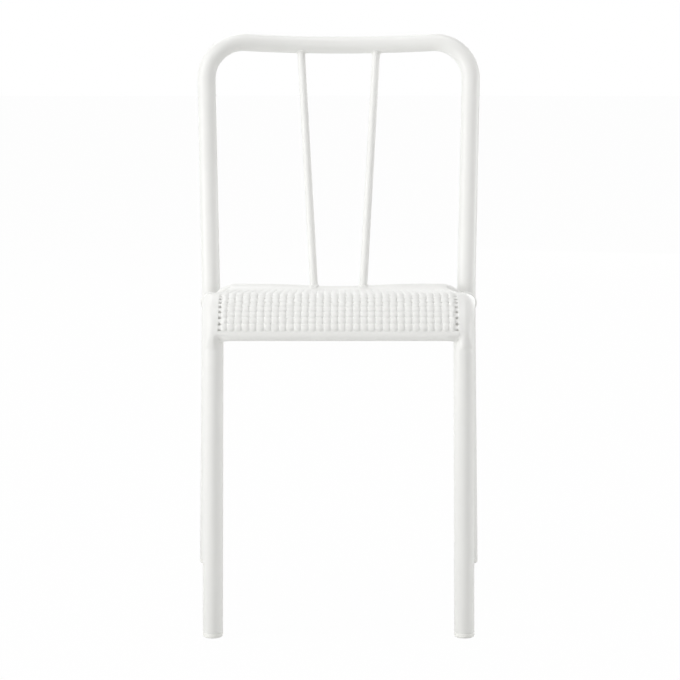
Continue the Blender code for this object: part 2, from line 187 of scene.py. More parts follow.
LIP_RADIUS = 0.0075
LIP_REACH = math.radians(165)
LIP_SHEET = 0.0011
LIP_SINK = 0.0065
LIP_SINK_START = 0.148
LIP_SINK_TURN = math.radians(60)
LIP_STEPS = 24
REAR_ROLL_START = math.radians(48)
REAR_ROLL_REACH = math.radians(170)
REAR_ROLL_STEPS = 20
REAR_SHEET = 0.0004

# Foot plugs
PLUG_RIM_HEIGHT = 0.007
PLUG_GAP = 0.0001
PLUG_TOP_CHAMFER = 0.0002
PLUG_ROUND = 0.003
PLUG_ROUND_STEPS = 10
PLUG_DISH = 0.0004
PLUG_DISH_EYE_RADIUS = 0.0005
PLUG_DISH_FLAT_RADIUS = 0.0045
PLUG_DISH_SLOPE_RADIUS = 0.006
PLUG_DISH_RADIUS = 0.0072
PLUG_NECK_INSET = 0.0022
PLUG_SIDES = 64

# Clearance where one skin lies just inside another
SURFACE_GAP = 0.0003

# Values that follow from these
KNEE_CENTRE_HEIGHT = RAIL_CREST_AXIS_HEIGHT - KNEE_RADIUS
CROWN_RADIUS = KNEE_RADIUS + TUBE_RADIUS
REAR_RAIL_DEPTH = WAIST_DEPTH - REAR_RAIL_AHEAD_OF_WAIST
MAT_TOP_RADIUS = CROWN_RADIUS + MAT_CLEARANCE + MAT_THICKNESS + BORDER_RISE
LEG_END_HEIGHT = PLUG_RIM_HEIGHT + PLUG_GAP
SIDE_GAP_EDGE = LAST_RIB_EDGE + SIDE_GAP_WIDTH

plug_low, plug_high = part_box("foot_plug_front_left")
FRONT_LEG_Y = (plug_low.y + plug_high.y) / 2


# Materials


def node_of(tree, kind, place, **values):
    made = tree.nodes.new(kind)
    made.location = place
    for name, value in values.items():
        made.inputs[name.replace("_", " ")].default_value = value
    return made


def paint_material(name, colour, darker, roughness, peel_strength):
    """Satin powder coat: a fine orange peel, faint cloudiness and slightly uneven gloss."""
    material = bpy.data.materials.new(name)
    material.use_nodes = True
    tree = material.node_tree
    shader = tree.nodes["Principled BSDF"]
    shader.inputs["Metallic"].default_value = 0.0
    shader.inputs["IOR"].default_value = 1.5
    place = node_of(tree, "ShaderNodeTexCoord", (-1300, 0))

    cloud = node_of(tree, "ShaderNodeTexNoise", (-1000, 300), Scale=22.0, Detail=4.0, Roughness=0.6)
    tint = tree.nodes.new("ShaderNodeMix")
    tint.location = (-500, 300)
    tint.data_type = "RGBA"
    tint.inputs["A"].default_value = (*darker, 1.0)
    tint.inputs["B"].default_value = (*colour, 1.0)
    tree.links.new(place.outputs["Object"], cloud.inputs["Vector"])
    tree.links.new(cloud.outputs["Fac"], tint.inputs["Factor"])
    tree.links.new(tint.outputs["Result"], shader.inputs["Base Color"])

    speck = node_of(tree, "ShaderNodeTexNoise", (-1000, 0), Scale=260.0, Detail=3.0, Roughness=0.5)
    gloss = node_of(tree, "ShaderNodeMapRange", (-500, 0))
    gloss.inputs["From Min"].default_value = 0.3
    gloss.inputs["From Max"].default_value = 0.7
    gloss.inputs["To Min"].default_value = roughness - 0.04
    gloss.inputs["To Max"].default_value = roughness + 0.05
    tree.links.new(place.outputs["Object"], speck.inputs["Vector"])
    tree.links.new(speck.outputs["Fac"], gloss.inputs["Value"])
    tree.links.new(gloss.outputs["Result"], shader.inputs["Roughness"])

    peel = node_of(tree, "ShaderNodeTexNoise", (-1000, -300), Scale=900.0, Detail=2.0, Roughness=0.4)
    bump = node_of(tree, "ShaderNodeBump", (-500, -300), Strength=peel_strength, Distance=0.0002)
    tree.links.new(place.outputs["Object"], peel.inputs["Vector"])
    tree.links.new(peel.outputs["Fac"], bump.inputs["Height"])
    tree.links.new(bump.outputs["Normal"], shader.inputs["Normal"])
    return material


def foot_plastic_material():
    """Moulded plastic with a fine matt grain, darker and mottled towards the bottom."""
    material = bpy.data.materials.new("foot_plastic")
    material.use_nodes = True
    tree = material.node_tree
    shader = tree.nodes["Principled BSDF"]
    place = node_of(tree, "ShaderNodeTexCoord", (-1300, 0))
    height = tree.nodes.new("ShaderNodeSeparateXYZ")
    height.location = (-1100, 300)
    # Darker, mottled colour in the lowest 4 mm of the plug, towards the floor.
    low = node_of(tree, "ShaderNodeMapRange", (-900, 300))
    low.inputs["From Min"].default_value = 0.0
    low.inputs["From Max"].default_value = 0.004
    low_mottle = node_of(tree, "ShaderNodeTexNoise", (-1100, 100), Scale=420.0, Detail=5.0, Roughness=0.7)
    soften = tree.nodes.new("ShaderNodeMath")
    soften.operation = "ADD"
    soften.use_clamp = True
    soften.location = (-700, 200)
    tint = tree.nodes.new("ShaderNodeMix")
    tint.data_type = "RGBA"
    tint.location = (-400, 200)
    tint.inputs["A"].default_value = (0.58, 0.58, 0.56, 1.0)
    tint.inputs["B"].default_value = (0.86, 0.86, 0.83, 1.0)
    tree.links.new(place.outputs["Object"], height.inputs["Vector"])
    tree.links.new(place.outputs["Object"], low_mottle.inputs["Vector"])
    tree.links.new(height.outputs["Z"], low.inputs["Value"])
    tree.links.new(low.outputs["Result"], soften.inputs[0])
    tree.links.new(low_mottle.outputs["Fac"], soften.inputs[1])
    tree.links.new(soften.outputs["Value"], tint.inputs["Factor"])
    tree.links.new(tint.outputs["Result"], shader.inputs["Base Color"])
    grain = node_of(tree, "ShaderNodeTexNoise", (-1100, -200), Scale=1800.0, Detail=3.0, Roughness=0.6)
    bump = node_of(tree, "ShaderNodeBump", (-700, -200), Strength=0.25, Distance=0.0001)
    tree.links.new(place.outputs["Object"], grain.inputs["Vector"])
    tree.links.new(grain.outputs["Fac"], bump.inputs["Height"])
    tree.links.new(bump.outputs["Normal"], shader.inputs["Normal"])
    shader.inputs["Roughness"].default_value = 0.5
    shader.inputs["IOR"].default_value = 1.48
    return material


# Paths, as in the frame


def world(point):
    """From depth behind the front legs to the frame's own Y."""
    return Vector((point.x, point.y + FRONT_LEG_Y, point.z))


def smooth_step(share):
    share = min(max(share, 0), 1)
    return share * share * (3 - 2 * share)


def rounded_path(corners, radii):
    """Points along straight runs whose inner corners are rounded to the given radii."""
    points = [corners[0].copy()]
    for before, corner, after, radius in zip(corners, corners[1:], corners[2:], radii):
        incoming = (corner - before).normalized()
        outgoing = (after - corner).normalized()
        turn = incoming.angle(outgoing)
        start = corner - incoming * (radius * math.tan(turn / 2))
        inward = (outgoing - incoming * incoming.dot(outgoing)).normalized()
        centre = start + inward * radius
        steps = max(2, round(turn / BEND_STEP))
        for step in range(steps + 1):
            angle = turn * step / steps
            towards_corner = inward * radius * math.cos(angle)
            points.append(centre - towards_corner + incoming * radius * math.sin(angle))
    points.append(corners[-1].copy())
    return points


def mirrored(points):
    return [Vector((-point.x, point.y, point.z)) for point in points]


def side_rail_half_spread(depth):
    return KNEE_HALF_SPREAD + (WAIST_HALF_SPREAD - KNEE_HALF_SPREAD) * depth / WAIST_DEPTH


def side_rail_axis_height(depth):
    """Height of the side rail's axis behind the crest of the knee."""
    at_centre = KNEE_CENTRE_HEIGHT + KNEE_RADIUS / math.cos(SIDE_RAIL_FALL)
    return at_centre - (depth - KNEE_RADIUS) * math.tan(SIDE_RAIL_FALL)


def front_leg_axis(side):
    floor = Vector((side * FRONT_FOOT_HALF_SPREAD, 0, 0))
    return floor, Vector((side * KNEE_HALF_SPREAD, 0, side_rail_axis_height(0)))


def rear_leg_axis(side):
    floor = Vector((side * REAR_FOOT_HALF_SPREAD, REAR_FOOT_DEPTH, 0))
    height = side_rail_axis_height(WAIST_DEPTH) + WAIST_ABOVE_SIDE_RAIL
    return floor, Vector((side * WAIST_HALF_SPREAD, WAIST_DEPTH, height))


def tube_end(floor, above):
    """Where the leg's tube stops, on top of the foot plug's rim."""
    return floor + (above - floor) * (LEG_END_HEIGHT / above.z)


def side_frame_path(side):
    floor, knee = front_leg_axis(side)
    rear_across = side * side_rail_half_spread(WAIST_DEPTH)
    rear = Vector((rear_across, WAIST_DEPTH, side_rail_axis_height(WAIST_DEPTH)))
    return rounded_path([tube_end(floor, knee), knee, rear], [KNEE_RADIUS])


def back_lean():
    _, waist = rear_leg_axis(1)
    return math.atan2(BACK_TOP_DEPTH - waist.y, OVERALL_HEIGHT - TUBE_RADIUS - waist.z)


def top_rail_point(across):
    """A point on the top rail's axis: bowed square to the back, and straight past the bow's ends."""
    half_span = BACK_TOP_HALF_SPREAD - TOP_CORNER_RADIUS
    past = abs(across) - half_span
    if past > 0:
        bow = -past * 2 * TOP_RAIL_BOW / half_span
    else:
        bow = TOP_RAIL_BOW * (1 - (across / half_span) ** 2)
    backwards = Vector((0, math.cos(back_lean()), -math.sin(back_lean())))
    return Vector((across, BACK_TOP_DEPTH, OVERALL_HEIGHT - TUBE_RADIUS)) + backwards * bow


def rear_frame_path():
    floor, waist = rear_leg_axis(-1)
    corner = top_rail_point(-BACK_TOP_HALF_SPREAD)
    past_corner_bend = BACK_TOP_HALF_SPREAD - TOP_CORNER_RADIUS * PAST_CORNER_SHARE
    corners = [tube_end(floor, waist), waist, corner, top_rail_point(-past_corner_bend)]
    left = rounded_path(corners, [WAIST_BEND_RADIUS, TOP_CORNER_RADIUS])
    shares = [2 * step / TOP_RAIL_SPANS - 1 for step in range(1, TOP_RAIL_SPANS)]
    bowed = [top_rail_point(past_corner_bend * share) for share in shares]
    return left + bowed + mirrored(left)[::-1]


def rear_rail_bend_start():
    return side_rail_half_spread(REAR_RAIL_DEPTH) - REAR_RAIL_BEND_INSET


def rear_rail_height(across):
    """Height of the rear rail's axis: a slight dip in the middle, and ends that bend down."""
    dip_share = min(abs(across) / REAR_RAIL_DIP_HALF_SPAN, 1)
    dip = REAR_RAIL_DIP * (1 + math.cos(math.pi * dip_share)) / 2
    past = min(max(abs(across) - rear_rail_bend_start(), 0), REAR_RAIL_END_RADIUS)
    drop = REAR_RAIL_END_RADIUS - math.sqrt(REAR_RAIL_END_RADIUS**2 - past**2)
    return side_rail_axis_height(REAR_RAIL_DEPTH) + REAR_RAIL_ABOVE_SIDE_RAIL - dip - drop


def rear_rail_path():
    bend_start = rear_rail_bend_start()
    half = [bend_start * step / REAR_RAIL_SPANS for step in range(REAR_RAIL_SPANS + 1)]
    for step in range(1, REAR_RAIL_END_STEPS + 1):
        turn = REAR_RAIL_END_TURN * step / REAR_RAIL_END_STEPS
        half.append(bend_start + REAR_RAIL_END_RADIUS * math.sin(turn))
    across = [-x for x in half[:0:-1]] + half
    return [Vector((x, REAR_RAIL_DEPTH, rear_rail_height(x))) for x in across]


# Meshes


def make_piece(name, shell, material, slot, *replaced):
    """A smooth-shaded piece on the chair's one body, standing for the CAD nodes named."""
    mesh = bpy.data.meshes.new(name)
    mesh.from_pydata([tuple(point) for point in shell.vertices], [], shell.faces)
    mesh.validate()
    builder = bmesh.new()
    builder.from_mesh(mesh)
    bmesh.ops.recalc_face_normals(builder, faces=builder.faces)
    builder.to_mesh(mesh)
    builder.free()
    mesh.shade_smooth()
    mesh.set_sharp_from_angle(angle=SMOOTHING_ANGLE)
    mesh.materials.append(material)
    piece = bpy.data.objects.new(name, mesh)
    bpy.context.scene.collection.objects.link(piece)
    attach(piece, "root")
    if replaced:
        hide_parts(*replaced)
    return piece


class Shell:
    """Collects the rings of one or more closed sweeps into one list of vertices and faces."""

    def __init__(self):
        self.vertices = []
        self.faces = []

    def add_sweep(self, rings, closed=False):
        first = len(self.vertices)
        count = len(rings[0])
        for ring in rings:
            self.vertices += ring
        spans = len(rings) if closed else len(rings) - 1
        for span in range(spans):
            near = first + span * count
            far = first + (span + 1) % len(rings) * count
            for index in range(count):
                following = (index + 1) % count
                self.faces.append((near + index, near + following, far + following, far + index))
        if not closed:
            last = first + (len(rings) - 1) * count
            self.faces.append(tuple(range(first, first + count)))
            self.faces.append(tuple(range(last, last + count)))


def ring_around(point, direction, reference, radius, sides):
    first = (reference - direction * reference.dot(direction)).normalized()
    second = direction.cross(first)
    return [
        point + first * (radius * math.cos(angle)) + second * (radius * math.sin(angle))
        for angle in (math.tau * step / sides for step in range(sides))
    ]


def level_with(ring, direction, height):
    """Slides a ring's points along the tube to one height, for a foot that is cut level."""
    return [point + direction * ((height - point.z) / direction.z) for point in ring]


def sweep_rings(path, radius, sides):
    """One ring for each point of the path, kept from twisting along it."""
    directions = [(after - before).normalized() for before, after in zip(path, path[1:])]
    runs_across = abs(directions[0].x) > abs(directions[0].z)
    reference = Vector((0, 0, 1)) if runs_across else Vector((1, 0, 0))
    rings = []
    for index, point in enumerate(path):
        arriving = directions[max(index - 1, 0)]
        leaving = directions[min(index, len(directions) - 1)]
        direction = (arriving + leaving).normalized()
        reference = arriving.rotation_difference(leaving) @ reference
        rings.append(ring_around(point, direction, reference, radius, sides))
    return rings


def foot_rings(floor_end, above, radius, sides):
    """The chamfered, level end of a leg's tube, from the end upwards."""
    direction = (above - floor_end).normalized()
    reference = Vector((1, 0, 0))
    rings = []
    for height, inset in ((0, END_CHAMFER), (END_CHAMFER, 0)):
        ring = ring_around(floor_end, direction, reference, radius - inset, sides)
        rings.append(level_with(ring, direction, floor_end.z + height))
    return rings


def flattened(ring, centre):
    """The top rail's section, a little flatter than round, with its top where it was."""
    if centre.z < OVERALL_HEIGHT - TOP_CORNER_RADIUS:
        return ring
    straight_end = BACK_TOP_HALF_SPREAD - TOP_CORNER_RADIUS
    into_corner = (straight_end - abs(centre.x)) / TOP_CORNER_RADIUS
    flatness = TOP_RAIL_FLATTENING * smooth_step(into_corner + 1)
    top = centre.z + TUBE_RADIUS
    return [Vector((point.x, point.y, top - (top - point.z) * (1 - flatness))) for point in ring]


def make_rear_frame(paint):
    path = [world(point) for point in rear_frame_path()]
    start = foot_rings(path[0], path[1], TUBE_RADIUS, TUBE_SIDES)
    end = foot_rings(path[-1], path[-2], TUBE_RADIUS, TUBE_SIDES)
    shell = Shell()
    rings = sweep_rings(path, TUBE_RADIUS, TUBE_SIDES)
    rings = [flattened(ring, centre) for ring, centre in zip(rings, path)]
    shell.add_sweep(start + rings[1:-1] + match_rings(rings[-2], end[::-1]))
    return make_piece("rear_frame_tube", shell, paint, "powder_coat", "rear_frame")


def match_rings(ring, others):
    """The other rings with their starting points and sense changed to line up with the first ring."""
    matched = []
    for other in others:
        count = len(other)
        options = []
        for sense in (1, -1):
            for offset in range(count):
                turned = [other[(offset + sense * index) % count] for index in range(count)]
                probe = range(0, count, count // 4)
                spread = sum((turned[i] - ring[i] - (turned[0] - ring[0])).length for i in probe)
                options.append((spread, sense, offset))
        _, sense, offset = min(options)
        matched.append([other[(offset + sense * index) % count] for index in range(count)])
    return matched


def make_side_frame(side, word, paint):
    path = [world(point) for point in side_frame_path(side)]
    start = foot_rings(path[0], path[1], TUBE_RADIUS, TUBE_SIDES)
    rings = sweep_rings(path, TUBE_RADIUS, TUBE_SIDES)
    shell = Shell()
    shell.add_sweep(start + rings[1:])
    name = "side_frame_" + word
    return make_piece(name + "_tube", shell, paint, "powder_coat", name)


def make_rod(name, path, paint, node):
    shell = Shell()
    shell.add_sweep(sweep_rings(path, ROD_RADIUS, ROD_SIDES))
    return make_piece(name, shell, paint, "powder_coat", node)


def cross_rod_path(depth, height):
    """Between the side frames' axes at this depth."""
    reach = side_rail_half_spread(max(depth, 0))
    return [world(Vector((-reach, depth, height))), world(Vector((reach, depth, height)))]


def front_rail_path():
    axis_radius = CROWN_RADIUS - ROD_RADIUS
    depth = KNEE_RADIUS - axis_radius * math.sin(FRONT_RAIL_TURN)
    return cross_rod_path(depth, KNEE_CENTRE_HEIGHT + axis_radius * math.cos(FRONT_RAIL_TURN))


def crossbar_path():
    crown_offset = (TUBE_RADIUS - ROD_RADIUS) / math.cos(SIDE_RAIL_FALL)
    return cross_rod_path(CROSSBAR_DEPTH, side_rail_axis_height(CROSSBAR_DEPTH) + crown_offset)


def spindle_path(side):
    across = side * SPINDLE_FOOT_HALF_SPREAD
    foot = Vector((across, REAR_RAIL_DEPTH, rear_rail_height(across)))
    return [world(foot), world(top_rail_point(side * SPINDLE_TOP_HALF_SPREAD))]


# Welds


def surface_of(piece):
    mesh = piece.data
    return BVHTree.FromPolygons([v.co for v in mesh.vertices], [p.vertices for p in mesh.polygons])


def weld_line(axis_point, direction, radius, target, first_turn, last_turn, up):
    """Points where a rod's skin enters another piece, with the direction out of the corner there."""
    across = direction.cross(up).normalized()
    above = across.cross(direction).normalized()
    steps = max(BEAD_LINE_LEAST_STEPS, round((last_turn - first_turn) / BEAD_LINE_STEP))
    line = []
    for step in range(steps + 1):
        turn = first_turn + (last_turn - first_turn) * step / steps
        radial = above * math.cos(turn) + across * math.sin(turn)
        start = axis_point + radial * radius
        hit, normal, _, _ = target.ray_cast(start, direction, BEAD_LINE_REACH)
        if hit is not None:
            line.append((hit, (normal + radial).normalized()))
    return line


def make_weld(name, line, bead_radius, paint, closed, seed):
    """A rippled fillet bead along the line, tapering out at its ends where it doesn't close."""
    chance = random.Random(seed)
    slow_phase = chance.uniform(0, math.tau)
    fast_phase = chance.uniform(0, math.tau)
    lengths = [0.0]
    for (before, _), (after, _) in zip(line, line[1:]):
        lengths.append(lengths[-1] + (after - before).length)
    total = lengths[-1]
    ripple_count = max(RIPPLE_LEAST_COUNT, round(total / RIPPLE_PITCH))
    count = ripple_count * RIPPLE_STEPS
    rings = []
    span = count if closed else count + 1
    for step in range(span):
        distance = total * step / count
        index = max(i for i, length in enumerate(lengths[:-1]) if length <= distance + 1e-9)
        stretch = lengths[index + 1] - lengths[index]
        share = (distance - lengths[index]) / stretch if stretch else 0
        point = line[index][0].lerp(line[index + 1][0], share)
        outward = line[index][1].lerp(line[index + 1][1], share).normalized()
        tangent = (line[index + 1][0] - line[index][0]).normalized()
        turn = math.tau * distance / total
        ripple = 1 + RIPPLE_SWING * math.cos(ripple_count * turn)
        slow_wander = SLOW_WANDER_SWING * math.sin(2 * turn + slow_phase)
        ripple += slow_wander + FAST_WANDER_SWING * math.sin(5 * turn + fast_phase)
        radius = bead_radius * ripple
        if not closed:
            end_share = min(step, count - step) / count
            taper = math.sqrt(min(end_share / BEAD_TAPER_SHARE, 1))
            radius *= taper * (1 - BEAD_TIP_SHARE) + BEAD_TIP_SHARE
        first = (outward - tangent * outward.dot(tangent)).normalized()
        second = tangent.cross(first)
        centre = point + first * radius * BEAD_STAND_OUT
        height = radius * BEAD_HEIGHT_SHARE
        width = radius * BEAD_WIDTH_SHARE
        rings.append([
            centre + first * (height * math.cos(angle)) + second * (width * math.sin(angle))
            for angle in (math.tau * corner / BEAD_SIDES for corner in range(BEAD_SIDES))
        ])
    shell = Shell()
    shell.add_sweep(rings, closed)
    return make_piece(name, shell, paint, "powder_coat")


def make_welds(side, word, rear_surface, rail_surface, side_surface, paint):
    """The beads at one side of the chair; each search line starts clear of the piece it runs into."""
    up = Vector((0, 0, 1))
    back = Vector((0, 1, 0))
    outwards = Vector((side, 0, 0))
    full = math.tau

    path = [world(point) for point in side_frame_path(side)]
    direction = (path[-1] - path[-2]).normalized()
    start = path[-1] - direction * SIDE_RAIL_BEAD_SETBACK
    radius = TUBE_RADIUS * SIDE_RAIL_BEAD_INSET_SHARE
    line = weld_line(start, direction, radius, rear_surface, 0, full, up)
    make_weld("weld_side_rail_" + word, line, SIDE_RAIL_BEAD, paint, True, 11 + side)

    foot, top = spindle_path(side)
    direction = (top - foot).normalized()
    line = weld_line(foot.lerp(top, 0.5), direction, ROD_RADIUS, rear_surface, 0, full, back)
    make_weld("weld_spindle_top_" + word, line, SPINDLE_TOP_BEAD, paint, True, 21 + side)
    start = foot + direction * SPINDLE_FOOT_BEAD_SETBACK
    line = weld_line(start, -direction, ROD_RADIUS, rail_surface, 0, full, back)
    make_weld("weld_spindle_foot_" + word, line, SPINDLE_FOOT_BEAD, paint, True, 31 + side)

    rail = [world(point) for point in rear_rail_path()]
    if side < 0:
        rail = rail[::-1]
    direction = (rail[-1] - rail[-2]).normalized()
    start = rail[-1] - direction * REAR_RAIL_BEAD_SETBACK
    line = weld_line(start, direction, ROD_RADIUS, side_surface, 0, full, back)
    make_weld("weld_rear_rail_" + word, line, REAR_RAIL_BEAD, paint, True, 41 + side)

    ends = (
        ("front_rail", front_rail_path(), Vector((0, 0.9, -0.4)).normalized()),
        ("crossbar", crossbar_path(), Vector((0, 0, -1))),
    )
    half_turn = CROSS_ROD_BEAD_HALF_TURN
    for label, path, away in ends:
        start = path[0].lerp(path[1], 0.5) + outwards * CROSS_ROD_BEAD_START
        line = weld_line(start, outwards, ROD_RADIUS, side_surface, -half_turn, half_turn, away)
        make_weld("weld_" + label + "_" + word, line, CROSS_ROD_BEAD, paint, False, 51 + side)


# Woven seat


def mat_curve_length():
    return MAT_TOP_RADIUS * (MAT_FRONT_TURN + SIDE_RAIL_FALL)


def mat_profile(along):
    """A point on the mat's top face and its upward direction, by distance from the front edge."""
    turn = MAT_FRONT_TURN - min(along, mat_curve_length()) / MAT_TOP_RADIUS
    up = Vector((0, -math.sin(turn), math.cos(turn)))
    point = Vector((0, KNEE_RADIUS, KNEE_CENTRE_HEIGHT)) + up * MAT_TOP_RADIUS
    backwards = Vector((0, math.cos(turn), math.sin(turn)))
    return point + backwards * max(along - mat_curve_length(), 0), up


def mat_length():
    curve_end = KNEE_RADIUS + MAT_TOP_RADIUS * math.sin(SIDE_RAIL_FALL)
    rear_edge = REAR_RAIL_DEPTH - ROD_RADIUS - SURFACE_GAP
    return mat_curve_length() + (rear_edge - curve_end) / math.cos(SIDE_RAIL_FALL)


def gap_along(row):
    """Distance from the front edge to the line between two cross strands."""
    return FIRST_GAP_ALONG + row * STRAND_PITCH


def weave_end():
    return gap_along(GAP_ROWS - 1) + WEAVE_END_MARGIN


def mat_lift(across, along):
    """The mat's rear margin curls up to meet the rear rail at the height of its axis."""
    edge, _ = mat_profile(mat_length())
    rise = max(rear_rail_height(across) + MAT_THICKNESS / 2 - edge.z, 0)
    return rise * smooth_step((along - weave_end()) / (mat_length() - weave_end()))


def mat_point(across, along, depth):
    """A point at this depth below the mat's top face."""
    point, up = mat_profile(along)
    lifted = Vector((across, point.y, point.z + mat_lift(across, along)))
    return world(lifted - up * depth)


def strand_section(half_width):
    """A strand's outline, as offsets across it and upwards: a crowned top and a bevelled underside."""
    half = STRAND_THICKNESS / 2
    section = []
    for step in range(STRAND_CROWN_STEPS + 1):
        share = math.cos(math.pi * step / STRAND_CROWN_STEPS)
        height = STRAND_CROWN * (1 - abs(share) ** STRAND_CROWN_POWER) ** STRAND_CROWN_ROUND
        section.append((half_width * share, height - half * STRAND_EDGE_LEVEL))
    for wide, deep in STRAND_UNDERSIDE:
        section.append((half_width * wide, -half * deep))
    return section


def over_and_under(distance):
    """A strand's rise at this many pitches from a crossing: on top there, beneath at the next."""
    swing = math.cos(math.pi * distance)
    return STRAND_WAVE * math.copysign(abs(swing) ** STRAND_WAVE_ROUND, swing)


def pinched(distance):
    """The share of its width that a strand keeps at this many pitches from a crossing."""
    return 1 - STRAND_PINCH * math.sin(math.pi * distance) ** 4


def make_ribs(paint):
    """Strands from front to back, over and under the cross strands in turn.

    Both their ends sink under the borders.
    """
    shell = Shell()
    start = FRONT_HEM - TUCK_UNDER_HEM
    end = weave_end() + TUCK_UNDER_HEM
    steps = round((end - start) / STRAND_PITCH * STRAND_STEPS)
    for rib in range(-RIB_PAIRS, RIB_PAIRS):
        left = max(rib * STRAND_PITCH + GAP_WIDTH / 2, -LAST_RIB_EDGE)
        right = min((rib + 1) * STRAND_PITCH - GAP_WIDTH / 2, LAST_RIB_EDGE)
        across = (left + right) / 2 + WEAVE_SHIFT
        rings = []
        for step in range(steps + 1):
            along = start + (end - start) * step / steps
            phase = (along - gap_along(0.5)) / STRAND_PITCH + rib
            rise = over_and_under(phase)
            from_border = min(along - FRONT_HEM, weave_end() - along)
            sink = 1 - smooth_step(from_border / HEM_SINK_LENGTH)
            rise += (-STRAND_WAVE - STRAND_CROWN / 2 - rise) * sink
            section = strand_section((right - left) / 2 * pinched(phase))
            depth = WEAVE_DEPTH - rise
            rings.append([mat_point(across + wide, along, depth - high) for wide, high in section])
        shell.add_sweep(rings)
    return make_piece("seat_weave_ribs", shell, paint, "woven_seat", "seat_mat")


def cross_strand_width(out):
    """Half a cross strand's width: full among the ribs, cut back by the side gap's rounded holes."""
    off_centre = (out - SIDE_GAP_EDGE + SIDE_GAP_WIDTH / 2) / (SIDE_GAP_WIDTH / 2)
    hole = SIDE_GAP_LENGTH / 2 * math.sqrt(max(1 - off_centre**2, 0))
    return STRAND_PITCH / 2 - max(hole, GAP_WIDTH / 2)


def cross_strand_stations():
    """Distances from the strand's middle to one end, closer together at the side gap."""
    inner_steps = round(LAST_RIB_EDGE / STRAND_PITCH * STRAND_STEPS)
    stations = [LAST_RIB_EDGE * step / inner_steps for step in range(inner_steps)]
    stations += [LAST_RIB_EDGE + SIDE_GAP_WIDTH * step / HOLE_STEPS for step in range(HOLE_STEPS + 1)]
    return stations + [SIDE_GAP_EDGE + TUCK_UNDER_HEM]


def make_cross_strands(paint):
    """Strands across the seat, which pass the ribs the other way."""
    shell = Shell()
    half = cross_strand_stations()
    stations = [-out for out in half[:0:-1]] + half
    for row in range(GAP_ROWS - 1):
        along = gap_along(row + 0.5)
        rings = []
        for across in stations:
            phase = across / STRAND_PITCH - 0.5 + row
            rise = -over_and_under(phase)
            sink = smooth_step((abs(across) - LAST_RIB_EDGE) / SIDE_GAP_WIDTH + 1)
            rise += (-STRAND_WAVE - rise) * sink
            keep = pinched(phase) if abs(across) < LAST_RIB_EDGE else 1
            section = strand_section(cross_strand_width(abs(across)) * keep)
            place = across + WEAVE_SHIFT
            depth = WEAVE_DEPTH - rise
            rings.append([mat_point(place, along + wide, depth - high) for wide, high in section])
        shell.add_sweep(rings)
    return make_piece("seat_weave_cross_strands", shell, paint, "woven_seat", "seat_mat")


def side_border_ring(side, along):
    """Section of a side border: flat beside the weave, then wrapped over the tube.

    It fades onto the knee in front, and settles onto the tube's crest towards the rear.
    """
    top, up = mat_profile(along)
    turn = math.atan2(-up.y, up.z)
    flat_height = MAT_TOP_RADIUS - KNEE_RADIUS
    axis = top - up * flat_height
    spread = side_rail_half_spread(max(axis.y, 0))
    inner = SIDE_GAP_EDGE + side * WEAVE_SHIFT - spread
    outer_fade = smooth_step((turn - FADE_START) / (OUTER_FADE_END - FADE_START))
    inner_fade = smooth_step((turn - FADE_START) / (INNER_FADE_END - FADE_START))

    def placed(out, height):
        across = side * (spread + out)
        point = axis + up * height
        return world(Vector((across, point.y, point.z + mat_lift(across, along))))

    def skin(fade):
        return TUBE_RADIUS + BORDER_SKIN * (1 - fade) - SURFACE_GAP * fade

    settled = smooth_step((along - SETTLE_START) / (mat_length() - SETTLE_START))
    crest = flat_height + (skin(0) - flat_height) * settled

    def flat_point(out, depth):
        outwards = smooth_step(1 - out / inner)
        fade = inner_fade + (outer_fade - inner_fade) * outwards
        on_tube = math.sqrt(max(skin(fade) ** 2 - out**2, 0))
        height = flat_height + (crest - flat_height) * outwards
        height += (on_tube - height) * fade
        if depth > 0:
            height -= depth * (1 - fade)
            height -= BORDER_FADED_SHEET * fade
        return placed(out, height)

    def wrapped_point(theta, thickness):
        wrap = max(smooth_step(theta / WRAP_TURN), outer_fade)
        radius = crest + (skin(outer_fade) - crest) * wrap
        if thickness > 0:
            radius -= thickness + (BORDER_END_SHEET - thickness) * wrap
        return placed(radius * math.sin(theta), radius * math.cos(theta))

    flat_steps = range(1, SIDE_BORDER_FLAT_STEPS + 1)
    wrap_steps = range(1, SIDE_BORDER_WRAP_STEPS + 1)
    outs = [inner * (1 - step / SIDE_BORDER_FLAT_STEPS) for step in flat_steps]
    thetas = [WRAP_TURN * step / SIDE_BORDER_WRAP_STEPS for step in wrap_steps]
    ring = [
        flat_point(inner, BORDER_ROUND),
        flat_point(inner + BORDER_ROUND * ROUND_MIDDLE, BORDER_ROUND * ROUND_MIDDLE),
        flat_point(inner + BORDER_ROUND, 0),
    ]
    ring += [flat_point(out, 0) for out in outs]
    ring += [wrapped_point(theta, 0) for theta in thetas]
    ring += [wrapped_point(theta, MAT_THICKNESS) for theta in reversed(thetas)]
    ring += [flat_point(out, MAT_THICKNESS) for out in reversed(outs)]
    ring.append(flat_point(inner, MAT_THICKNESS))
    return ring


def make_side_border(side, word, paint):
    """The sheet border that holds the cross strands' ends and wraps over the side tube."""
    start = -MAT_TOP_RADIUS * (OUTER_FADE_END - MAT_FRONT_TURN)
    rings = []
    for step in range(SIDE_BORDER_STEPS + 1):
        along = start + (mat_length() - start) * step / SIDE_BORDER_STEPS
        rings.append(side_border_ring(side, along))
    shell = Shell()
    shell.add_sweep(rings)
    return make_piece("seat_border_" + word, shell, paint, "woven_seat", "seat_mat")


